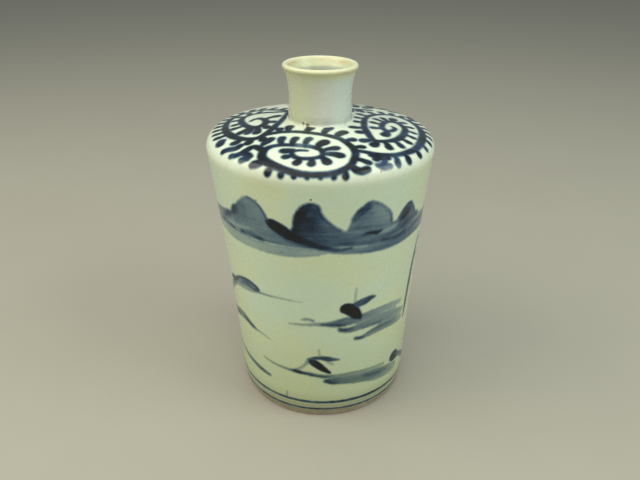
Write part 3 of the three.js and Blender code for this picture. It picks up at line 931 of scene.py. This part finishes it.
SPARE_TOUCHES = [
    [(-15.8, -39.2, 1.8), (-14, -39.4, 2), (-11.6, -39.2, 1.3)],
    [(-25.2, -31.9, 1.2), (-23.4, -29.2, 2.1), (-22, -27.4, 1.9)],
    [(-24.6, -37.6, 1.7), (-26.8, -34.6, 1.7), (-29.4, -33, 1.6), (-31.8, -34.6, 1.8), (-34.2, -37, 1.8),
     (-36.6, -37.6, 1.6), (-39, -36.8, 1.4)],
    [(-33.4, -37.4, 1.5), (-31.8, -39, 1.9), (-30.4, -40.8, 1.6)],
    [(-35.6, -29.8, 1.6), (-37.8, -31.8, 2), (-41, -31.4, 1.9), (-43.2, -31.4, 1.5)],
    [(-31.4, -41.6, 1.9), (-33.8, -41.6, 1.6)],
    [(-24, -46.2, 1.6), (-26.6, -46.8, 1.5), (-29, -46, 1.4)],
    [(-45.4, -21, 1.9), (-46, -23.2, 2.2), (-45.6, -24.6, 1.7)],
    [(13.6, -49.8, 1.5), (15.2, -51.4, 1.7), (17.8, -51.4, 1.6), (20.4, -50, 1.5)],
    [(22.6, -40.8, 1.5), (26, -41.8, 1.9), (29.4, -41, 1.6)],
    [(28, -41, 1.4, 0.8), (28, -44, 1.4, 0.7), (27.4, -46, 1.7, 0.68)],
    [(24.8, -47, 1.2, 0.62), (27.4, -46.6, 1.7, 0.68), (30.4, -45, 1.3, 0.62)],
    [(-20.8, -15.2, 1.2), (-19.4, -16.8, 1.4)],
]


# %% Paint the vine
BACK_TURN = 177  # degrees from the front curl to the one behind


def vine_all_round(art):
    vine(art, FRONT_STEM, FRONT_LEAVES, strength=0.94)
    vine(art, FRONT_STEM, FRONT_LEAVES, turn=BACK_TURN, strength=0.9)
    vine(art, RIGHT_STEM[::-1], RIGHT_LEAVES, strength=0.86)
    vine(art, LEFT_STEM, LEFT_LEAVES[12:], strength=0.98)
    vine(art, LEFT_CURL, LEFT_LEAVES[:12], strength=0.98)
    for turn in (0, BACK_TURN):
        for path in SPARE_TOUCHES:
            art.stroke("line", from_above(turned_rows(path, turn)), 0.92)


for piece in (shoulder, neck_collar):
    art = shoulder_painting(piece)
    vine_all_round(art)
    art.keep()

# %% [markdown]
# ## An uneven, hand-made shape
#
# No thrown bottle is a perfect solid of revolution. This one leans a little to the left above its
# shoulder and is a touch fuller at the lower right. One lattice moves all seven pieces at once, so
# that their seams still meet, and each piece takes the result into its mesh.

# %% Lean and swell
LEAN = 2.05  # how far the mouth stands to the left of the foot
LEAN_EASE = 0.8  # below 1, the lower body leans more than the upper
OVAL = 0.35  # how far it is out of round: the foot across and the mouth in depth
CAGE_LEVELS = 9
CAGE_ACROSS = 5

size_now = (2.2 * SHOULDER * MM, 2.2 * SHOULDER * MM, MOUTH_TOP * MM)
bpy.ops.object.select_all(action="DESELECT")
bpy.ops.object.add(type="LATTICE", location=(0, 0, 0.5 * MOUTH_TOP * MM))
cage = bpy.context.object
cage.scale = size_now
cage.data.points_u = cage.data.points_v = CAGE_ACROSS
cage.data.points_w = CAGE_LEVELS
for direction in "uvw":
    setattr(cage.data, "interpolation_type_" + direction, "KEY_BSPLINE")
for point in cage.data.points:
    across, deep, up = point.co
    level = (up + 0.5) * MOUTH_TOP
    rise = level / MOUTH_TOP
    shift = -LEAN * rise**LEAN_EASE + SWELL * float(swollen(level)) * max(0, across) * 2
    point.co_deform.x += (shift + OVAL * across * (1 - rise)) * MM / size_now[0]
    point.co_deform.y += -OVAL * deep * 2 * rise * MM / size_now[1]
for piece in PIECES:
    bpy.ops.object.select_all(action="DESELECT")
    bpy.context.view_layer.objects.active = piece
    piece.select_set(True)
    bend_with = piece.modifiers.new("hand", "LATTICE")
    bend_with.object = cage
    bpy.ops.object.modifier_apply(modifier=bend_with.name)
bpy.data.objects.remove(cage)
mouth_points = mouth_rim.data.vertices
mouth_off = sum(v.co.x for v in mouth_points) / len(mouth_points) / MM
print("the mouth stands", round(mouth_off, 2), "mm off")

# %% [markdown]
# ## Map of each piece
#
# The materials need no map, because they read the object's own space and the painted values. A map
# is still laid out for baking the finishes into images: each piece is unrolled like a label, with the
# outside in one strip and the hidden side in another. The shoulder is laid flat.


# %% Lay out the maps
MAP_SPLIT = 0.76  # the share of the map's height that the outside gets


def lay_out(piece, split=MAP_SPLIT, flat=False):
    mesh = piece.data
    radius, level, angle = places_of(piece)
    corners = np.empty(len(mesh.loops), np.int32)
    mesh.loops.foreach_get("vertex_index", corners)
    owners = np.repeat(np.arange(len(mesh.polygons)), [len(face.vertices) for face in mesh.polygons])
    turns = angle[corners] / 360 + 0.5
    first = turns[np.searchsorted(owners, owners)]
    turns = turns + np.round(first - turns)
    normals = np.empty(3 * len(mesh.polygons), np.float32)
    mesh.polygons.foreach_get("normal", normals)
    normals = normals.reshape(-1, 3)
    centres = np.empty(3 * len(mesh.polygons), np.float32)
    mesh.polygons.foreach_get("center", centres)
    centres = centres.reshape(-1, 3)
    out = (normals[:, :2] * centres[:, :2]).sum(axis=1) / (np.linalg.norm(centres[:, :2], axis=1) + 1e-9)
    outside = (out + np.maximum(normals[:, 2], 0) > 0.02)[owners]
    height = level + 0.7 * radius
    height = (height - height.min()) / (height.max() - height.min())
    lower = 0.01 + (split - 0.02) * height[corners]
    upper = split + 0.01 + (0.98 - split) * height[corners]
    u = 0.02 + 0.96 * np.clip(turns, -0.02, 1.02)
    v = np.where(outside, lower, upper)
    if flat:
        reach = radius / (1.02 * SHOULDER)
        across = (reach * np.sin(np.radians(angle)))[corners]
        away = (-reach * np.cos(np.radians(angle)))[corners]
        u = np.where(outside, 0.5 * split * (1 + across), u)
        v = np.where(outside, 0.5 * split * (1 + away), v)
    layer = mesh.uv_layers.new(name="OFBake")
    layer.data.foreach_set("uv", np.column_stack([u, v]).astype(np.float32).ravel())


for piece in PIECES:
    lay_out(piece, flat=piece in (shoulder, base_floor))
print("maps:", len(PIECES))

# %% [markdown]
# ## Shader maths as expressions
#
# The finishes are made of nodes, and most of them are arithmetic on masks. Writing it as expressions
# keeps it readable: a Wire is one socket, and an operator on it adds a Math node. One method adds any
# other node, with its settings first and its inputs after.


# %% Wires and finishes
class Wire:
    """A socket of a finish. Arithmetic on it adds Math nodes."""

    def __init__(self, finish, socket):
        self.finish = finish
        self.socket = socket

    def maths(self, operation, *values):
        return self.finish.node("ShaderNodeMath", {"operation": operation}, values)

    def __add__(self, other):
        return self.maths("ADD", self, other)

    def __radd__(self, other):
        return self.maths("ADD", other, self)

    def __sub__(self, other):
        return self.maths("SUBTRACT", self, other)

    def __rsub__(self, other):
        return self.maths("SUBTRACT", other, self)

    def __mul__(self, other):
        return self.maths("MULTIPLY", self, other)

    def __rmul__(self, other):
        return self.maths("MULTIPLY", other, self)

    def __gt__(self, other):
        return self.maths("GREATER_THAN", self, other)

    def clipped(self, low=0.0, high=1.0):
        return self.finish.node("ShaderNodeClamp", {}, [self, low, high])

    def step(self, low, high):
        """0 below low, 1 above high, and an eased slope between them."""
        settings = {"interpolation_type": "SMOOTHSTEP"}
        return self.finish.node("ShaderNodeMapRange", settings, [self, low, high, 0.0, 1.0])


GLASS_IOR = 1.5
SHEEN = 0.28  # a fired glaze reflects less than window glass


class Finish:
    """A material and its nodes. place is where a point lies in the object's own space, in millimetres."""

    def __init__(self, name):
        self.material = bpy.data.materials.new(name)
        self.material.use_nodes = True
        self.tree = self.material.node_tree
        self.tree.nodes.clear()
        here = self.node("ShaderNodeTexCoord", {}, [], "Object")
        self.place = self.node("ShaderNodeVectorMath", {"operation": "SCALE"}, {0: here, "Scale": 1 / MM})

    def node(self, kind, settings, values, output=0):
        made = self.tree.nodes.new(kind)
        stops = settings.pop("stops", None)
        for name, setting in settings.items():
            setattr(made, name, setting)
        if stops:
            for number, (position, colour) in enumerate(stops):
                ramp = made.color_ramp.elements
                stop = ramp[number] if number < 2 else ramp.new(position)
                stop.position = position
                stop.color = colour
        for key, value in values.items() if isinstance(values, dict) else enumerate(values):
            if isinstance(value, Wire):
                self.tree.links.new(value.socket, made.inputs[key])
            else:
                made.inputs[key].default_value = value
        return None if output is None else Wire(self, made.outputs[output])

    def stretched(self, *factors):
        return self.node("ShaderNodeVectorMath", {"operation": "MULTIPLY"}, [self.place, factors])

    def distance(self, place, target):
        return self.node("ShaderNodeVectorMath", {"operation": "DISTANCE"}, [place, target], "Value")

    def axis(self, letter):
        return self.node("ShaderNodeSeparateXYZ", {}, [self.place], letter)

    def noise(self, size, place=None, detail=2.0, roughness=0.5):
        """Soft noise round 0.5 with patches of about that size in millimetres."""
        values = {"Vector": place or self.place, "Scale": 1 / size, "Detail": detail, "Roughness": roughness}
        return self.node("ShaderNodeTexNoise", {}, values)

    def specks(self, spacing, size, share):
        """Round dots of that size, in this share of the cells of a loose grid."""
        values = {"Vector": self.place, "Scale": 1 / spacing}
        near = self.node("ShaderNodeTexVoronoi", {}, values, "Distance")
        luck = self.node("ShaderNodeTexVoronoi", {}, values, "Color")
        chosen = self.node("ShaderNodeSeparateXYZ", {}, [luck], "X")
        return (1 - near.step(0.35 * size / spacing, 0.6 * size / spacing)) * (chosen > 1 - share)

    def mix(self, factor, first, second, blend="MIX"):
        settings = {"data_type": "RGBA", "blend_type": blend}
        return self.node("ShaderNodeMix", settings, {0: factor, 6: first, 7: second}, 2)

    def ramp(self, value, stops):
        return self.node("ShaderNodeValToRGB", {"stops": stops}, [value])

    def held(self, name):
        """A value stored on the piece's points."""
        return self.node("ShaderNodeAttribute", {"attribute_name": name}, [], "Fac")

    def surface(self, colour, roughness, height, coat=0.0, coat_roughness=0.06):
        """Height is in millimetres."""
        normal = self.node("ShaderNodeBump", {}, {"Strength": 1.0, "Distance": MM, "Height": height})
        values = {"Base Color": colour, "Roughness": roughness, "Normal": normal, "Coat Weight": coat,
                  "Coat Roughness": coat_roughness, "IOR": GLASS_IOR, "Specular IOR Level": SHEEN}
        shader = self.node("ShaderNodeBsdfPrincipled", {}, values)
        self.node("ShaderNodeOutputMaterial", {}, {"Surface": shader}, None)
        print("finish:", self.material.name, len(self.tree.nodes), "nodes")


def tone(red, green, blue, gain=1.0):
    """A colour from its screen values, 0 to 255, as the linear light that a shader takes."""
    linear = [((v / 255 + 0.055) / 1.055) ** 2.4 if v > 10 else v / 255 / 12.92 for v in (red, green, blue)]
    return (*(min(1, gain * v) for v in linear), 1.0)


# %% [markdown]
# ## The glaze
#
# The glaze is a clear, faintly green glass that pools a little warmer in some places and cooler in
# others. Small iron specks burnt through it, and it left pinholes and a gentle orange peel. Under it
# the throwing rings still show as very low ridges. All glazed pieces share these cells.

# %% Glaze colour and relief
GLAZE_WARM = tone(208, 218, 178)
GLAZE_COOL = tone(202, 218, 190)
THIN_GLAZE = tone(205, 180, 132)
PAINTED_TOP_LIGHT = tone(228, 236, 212)  # painted light: paler on the shoulder and its rounding, where the light from above falls
# painted shade: the side darkens towards the foot, as less light reaches it
LOW_PAINTED_SHADE = tone(184, 192, 144)
# painted shade near the foot, which faces down and gets little light
FOOT_PAINTED_SHADE = tone(142, 142, 116)
GREY_GREEN = (1.0, 0.94, 0.66, 1.0)  # what takes the blue out of the low strokes
IRON = tone(84, 58, 34)
GLAZE_COAT = 0.2


def glaze_colour(finish, warm=GLAZE_WARM, cool=GLAZE_COOL):
    clouds = finish.noise(38, detail=3.0)
    tint = finish.mix(clouds.step(0.36, 0.66), warm, cool)
    mottle = finish.noise(5, detail=4.0, roughness=0.6)
    return finish.mix((mottle - 0.5).clipped(0, 0.2) * 0.5, tint, tone(182, 186, 146))


def glaze_relief(finish):
    peel = finish.noise(1.6) * 0.006
    hills = finish.noise(18) * 0.12
    rings = finish.noise(5, finish.stretched(0.05, 0.05, 1.0)) * 0.05
    pits = finish.specks(4.5, 0.4, 0.12) * 0.04
    return peel + hills + rings - pits


def glaze_gloss(finish):
    return 0.24 + 0.16 * finish.noise(3, detail=3.0).step(0.4, 0.8)


# %% [markdown]
# ## The blue under the glaze
#
# Cobalt is a stain, so a thin wash is a pale grey blue and a loaded stroke almost black. The depths
# and strengths stored on the points become a load of pigment: noise makes a stroke's edge creep, as
# the glaze carries the stain with it, and long low noise shows the hairs of the brush. A colour ramp
# then turns the load into blue.

# %% Painted glaze
BLUES = [  # load of pigment, colour
    (0.0, tone(198, 205, 168)),
    (0.14, tone(166, 182, 162)),
    (0.3, tone(128, 148, 148)),
    (0.48, tone(84, 107, 119)),
    (0.66, tone(40, 64, 88)),
    (0.82, tone(15, 32, 50)),
    (1.0, tone(5, 12, 14)),
]


IRON_SPOTS = [  # across, level, size
    (-5.2, 131.9, 0.7), (-29.4, 128.0, 0.5), (9.1, WALL_TOP + 2.6, 0.6), (24.5, WALL_TOP + 3, 0.4),
]
RUBBED_SPOT = (-27.0, -49.5, WALL_TOP + 1.0)  # the glaze is worn thin here, at the shoulder's edge


def line_pigment(finish):
    creep = (finish.noise(2.2) - 0.5) * 0.4 + (finish.noise(0.7) - 0.5) * 0.2
    depth = finish.held("line_depth") + creep
    cover = depth.step(-0.75, 0.7) * 0.88 + depth.step(-1.7, 0.0) * 0.12
    grain = finish.noise(3.4, detail=4.0, roughness=0.65)
    pool = finish.noise(9, detail=3.0).step(0.34, 0.66)
    return (cover * finish.held("line_strength") * (0.66 + 0.3 * grain + 0.28 * pool)).clipped(0, 1)


def pigment(finish):
    creep = (finish.noise(2.2) - 0.5) * 0.7 + (finish.noise(0.7) - 0.5) * 0.35
    hairs = finish.noise(2.6, finish.stretched(0.16, 0.16, 1.6), detail=3.0, roughness=0.6)
    grain = finish.noise(3.4, detail=4.0, roughness=0.65)
    wash_depth = finish.held("wash_depth") + creep * 1.3
    wash_cover = wash_depth.step(-1.4, 1.0)
    wash_rim = wash_depth.step(-0.3, 0.3) * (1 - wash_depth.step(0.3, 1.3))
    wash_load = finish.held("wash_strength") * (0.62 + 0.5 * hairs + 0.34 * grain) + 0.07 * wash_rim
    bare = (1 - (wash_cover * wash_load).clipped(0, 0.96)) * (1 - line_pigment(finish))
    return (1 - bare).clipped(0, 1)


def spot(finish, x, z, size):
    """A round spot on the front of the piece, where a grain of iron melted."""
    away = finish.distance(finish.stretched(1.0, 0.0, 1.0), (x, 0.0, z))
    return 1 - away.step(0.5 * size, size)


def iron_specks(finish):
    return (finish.specks(9, 0.9, 0.1) + finish.specks(3.7, 0.4, 0.06)).clipped(0, 1)


painted_glaze = Finish("painted_glaze")
load = pigment(painted_glaze)
level = painted_glaze.axis("Z")
low_down = 1 - level.step(5, 105)
blue = painted_glaze.ramp(load, BLUES)
greyer = painted_glaze.mix(0.8 * low_down, blue, GREY_GREEN, "MULTIPLY")
# Painted light: the shoulder and its rounding are paler, where the light from above falls on them.
upper = level.step(WALL_TOP - 4, WALL_TOP + 2)
ground = painted_glaze.mix(0.95 * upper, glaze_colour(painted_glaze), PAINTED_TOP_LIGHT)
# Painted shade: the lower side grows darker and yellower towards the foot.
ground = painted_glaze.mix(0.75 * (1 - level.step(0, 75)), ground, LOW_PAINTED_SHADE)
# Painted shade: the glaze goes dark grey near the foot, the lowest rings included.
ground = painted_glaze.mix(0.95 * (1 - level.step(3, 18)), ground, FOOT_PAINTED_SHADE)
colour = painted_glaze.mix(load.step(0.0, 0.14), ground, greyer)
rub_place = painted_glaze.distance(painted_glaze.place, RUBBED_SPOT)
rub = (1 - (rub_place + 14 * (painted_glaze.noise(4) - 0.5)).step(3, 13)) * 0.13
edge_wear = upper * (1 - level.step(WALL_TOP + 3, WALL_TOP + 8))
edge_wear = edge_wear * painted_glaze.noise(7).step(0.5, 0.7) * 0.16
foot_patches = painted_glaze.noise(6, painted_glaze.stretched(0.5, 0.5, 1.0)).step(0.42, 0.7)
foot_wear = (1 - level.step(1, 12)) * foot_patches * 0.35
worn = ((rub + edge_wear + foot_wear) * (1 - load)).clipped(0, 1)
colour = painted_glaze.mix(worn, colour, THIN_GLAZE)
grains = iron_specks(painted_glaze)
for x, z, size in IRON_SPOTS:
    grains = grains + spot(painted_glaze, x, z, size)
colour = painted_glaze.mix(grains.clipped(0, 1) * 0.85, colour, IRON)
painted_glaze.surface(colour, glaze_gloss(painted_glaze), glaze_relief(painted_glaze), GLAZE_COAT)

# %% [markdown]
# The neck and the mouth carry the same glaze without the painting, and only the tips of some leaves
# reach onto the collar. The glaze runs thicker in the corner between the collar and the shoulder,
# where it is greener, and thin over the lip, where the body burnt to a tan line.

# %% Clear glaze and the lip
# Painted light: the neck's tints for its warm-lit left, its middle and its cool-lit right.
NECK_WARM_LIGHT = tone(202, 205, 170)
NECK_GREY_LIGHT = tone(210, 209, 196)
NECK_COOL_LIGHT = tone(204, 215, 200)
SHADED_GLAZE = tone(96, 100, 84)
NECK_AXIS = (-0.93 * LEAN, 0.0, 0.0)  # the lean has moved the neck's axis to the left


def neck_colour_and_side_light(finish):
    """Painted light: warm on the left, greyer in the middle and cooler on the right, as the warm and the cool
    light fall on it.
    """
    across = finish.axis("X") + 3 * (finish.noise(12) - 0.5)
    middle = finish.mix(across.step(-14, 6), glaze_colour(finish, NECK_WARM_LIGHT, NECK_WARM_LIGHT), NECK_GREY_LIGHT)
    return finish.mix(across.step(-4, 12), middle, NECK_COOL_LIGHT)


def darker_inside(finish, colour):
    """The bore falls into shade away from the mouth."""
    from_axis = finish.distance(finish.stretched(1.0, 1.0, 0.0), NECK_AXIS)
    deep = 1 - finish.axis("Z").step(MOUTH_TOP - 12, MOUTH_TOP + 1)
    return finish.mix((1 - from_axis.step(BORE + 1.0, BORE + 1.6)) * deep, colour, SHADED_GLAZE)


clear_glaze = Finish("clear_glaze")
level = clear_glaze.axis("Z")
low = level + 1.2 * (clear_glaze.noise(3) - 0.5)
colour = darker_inside(clear_glaze, neck_colour_and_side_light(clear_glaze))
corner = low.step(NECK_SEAT + 0.3, NECK_SEAT + 1.2) * (1 - low.step(NECK_SEAT + 1.4, NECK_SEAT + 4)) * 0.3
colour = clear_glaze.mix(corner, colour, tone(160, 168, 142))
# Painted light: the foot of the collar takes the same pale colour as the lit shoulder.
colour = clear_glaze.mix(0.8 * (1 - low.step(NECK_SEAT + 0.1, NECK_SEAT + 0.9)), colour, PAINTED_TOP_LIGHT)
blue = line_pigment(clear_glaze)
colour = clear_glaze.mix(blue.step(0.0, 0.14), colour, clear_glaze.ramp(blue, BLUES))
grit = clear_glaze.specks(2.6, 0.7, 0.1) * (1 - level.step(SEAT - 1, SEAT + 1))
rust = spot(clear_glaze, -7.6, NECK_SEAT + 0.8, 1.2) + spot(clear_glaze, -9.6, NECK_SEAT + 1.4, 0.8)
colour = clear_glaze.mix((iron_specks(clear_glaze) + grit + rust).clipped(0, 1) * 0.75, colour, IRON)
lump = 0.35 * (spot(clear_glaze, -8.6, NECK_SEAT + 1.0, 1.6) + spot(clear_glaze, 9.0, NECK_SEAT + 1.2, 1.8))
clear_glaze.surface(colour, glaze_gloss(clear_glaze), glaze_relief(clear_glaze) + lump, GLAZE_COAT)

rim_glaze = Finish("rim_glaze")
level = rim_glaze.axis("Z") + 1.4 * (rim_glaze.noise(5) - 0.5)
band = level.step(MOUTH_TOP - 3.4, MOUTH_TOP - 1.6) * (1 - level.step(MOUTH_TOP - 0.9, MOUTH_TOP - 0.2))
rub = rim_glaze.noise(6, detail=3.0).step(0.46, 0.72)
colour = rim_glaze.mix(level.step(MOUTH_TOP - 7, MOUTH_TOP - 2), neck_colour_and_side_light(rim_glaze), tone(212, 214, 168))
colour = darker_inside(rim_glaze, colour)
colour = rim_glaze.mix(band * (0.1 + 0.5 * rub), colour, tone(196, 162, 112))
# Painted highlight: a pale cream band along the crest of the lip.
crest_highlight = level.step(MOUTH_TOP - 1.6, MOUTH_TOP - 0.4)
colour = rim_glaze.mix(crest_highlight * 0.7, colour, tone(232, 229, 190))
colour = rim_glaze.mix(iron_specks(rim_glaze) * 0.8, colour, IRON)
rim_glaze.surface(colour, glaze_gloss(rim_glaze), glaze_relief(rim_glaze), GLAZE_COAT)

# %% [markdown]
# ## The bare foot
#
# The foot ring was wiped clean so that the bottle would not stick to the kiln shelf. The glaze ends
# in a wavy line above it, the clay is a dry pinkish white with a rusty line where the glaze stops,
# and the standing edge has picked up dirt and fine grit.

# %% Bare clay
bare_clay = Finish("bare_clay")
level = bare_clay.axis("Z")
line = level - 1.5 - 1.6 * bare_clay.noise(9, bare_clay.stretched(1.0, 1.0, 0.1))
glazed = line.step(-0.15, 0.35)
rust = line.step(-1.2, -0.1) * (1 - line.step(0.0, 0.5))
patches = bare_clay.noise(1.4, detail=4.0).step(0.35, 0.75)
clay = bare_clay.mix(patches, tone(190, 174, 152), tone(170, 152, 128))
dirt = (1 - level.step(0.1, 1.2)) * bare_clay.noise(2, detail=3.0).step(0.35, 0.65)
clay = bare_clay.mix(dirt * 0.7, clay, tone(120, 96, 70))
clay = bare_clay.mix(rust * bare_clay.noise(4).step(0.3, 0.6) * 0.7, clay, tone(146, 110, 76))
# Painted shade: the glazed skin above the clay takes the dark colour painted near the foot, with warmer
# patches.
skin = bare_clay.mix(bare_clay.noise(6).step(0.35, 0.7) * 0.6, FOOT_PAINTED_SHADE, tone(176, 160, 130))
colour = bare_clay.mix(glazed, clay, skin)
grit = bare_clay.noise(0.5, detail=3.0) * 0.05 + bare_clay.noise(3) * 0.1
bare_clay.surface(colour, 0.75 - 0.5 * glazed, grit * (1 - 0.8 * glazed) + 0.1 * glazed, coat=0.0)

# %% [markdown]
# ## Joining the pieces to the frame
#
# Every piece hides its CAD node, rides on the one body and takes its finish's material.

# %% Hand the pieces over
FINISHES = {
    "foot_ring": ("bare_clay", bare_clay),
    "base_floor": ("painted_glaze", painted_glaze),
    "body_wall": ("painted_glaze", painted_glaze),
    "shoulder": ("painted_glaze", painted_glaze),
    "neck_collar": ("clear_glaze", clear_glaze),
    "neck": ("clear_glaze", clear_glaze),
    "mouth_rim": ("rim_glaze", rim_glaze),
}
for piece, node in PIECES.items():
    slot, finish = FINISHES[node]
    piece.data.materials.clear()
    piece.data.materials.append(finish.material)
    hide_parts(node)
    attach(piece, "root")
    print("piece:", piece.name, "for", node, "in", slot)

# %% [markdown]
# ## Floor and light
#
# The bottle stands on a plain pale floor. A broad soft light hangs in front of it and above, so that
# the shoulder is bright and the side darkens towards the foot. A cool one fills from the right and a
# warm one from the left, and a wide one overhead and a dim world lift the shadows.

# %% Floor
bpy.ops.object.select_all(action="DESELECT")
bpy.ops.mesh.primitive_plane_add(size=12, location=(0, 0, -0.05 * MM))
floor = bpy.context.object
floor.name = "floor"
floor_finish = Finish("floor_paper")
grain = floor_finish.noise(60, detail=3.0)
paper = floor_finish.mix(grain * 0.5, tone(176, 171, 154), tone(168, 163, 147))
floor_finish.surface(paper, 0.6, floor_finish.noise(1.2) * 0.03)
floor.data.materials.append(floor_finish.material)


# %% Lights
def soft_light(name, place, aim, size, watts, colour):
    bpy.ops.object.select_all(action="DESELECT")
    bpy.ops.object.light_add(type="AREA", location=place)
    light = bpy.context.object
    light.name = name
    light.data.shape = "DISK"
    light.data.size = size
    light.data.energy = watts
    light.data.color = colour
    light.visible_camera = False
    light.rotation_euler = (Vector(aim) - Vector(place)).to_track_quat("-Z", "Y").to_euler()


SHOULDER_POINT = (0, 0, 0.8 * WALL_TOP * MM)
soft_light("key_light", (-0.15, -0.6, 0.8), SHOULDER_POINT, 1.0, 3.6, (1.0, 0.99, 0.95))
soft_light("fill_right", (0.75, -0.3, 0.7), SHOULDER_POINT, 0.7, 4.2, (0.92, 1.0, 1.0))
soft_light("fill_left", (-0.7, -0.15, 0.75), SHOULDER_POINT, 0.7, 4.1, (1.0, 0.98, 0.84))
soft_light("wide_top", (0, 0.2, 1.3), (0, 0, 0), 1.3, 3.6, (0.94, 0.99, 1.0))
world = bpy.data.worlds.new("soft_world")
world.use_nodes = True
world.node_tree.nodes["Background"].inputs["Color"].default_value = (0.9, 0.98, 1.0, 1.0)
world.node_tree.nodes["Background"].inputs["Strength"].default_value = 0.3
bpy.context.scene.world = world
bpy.context.scene.view_settings.view_transform = "Standard"
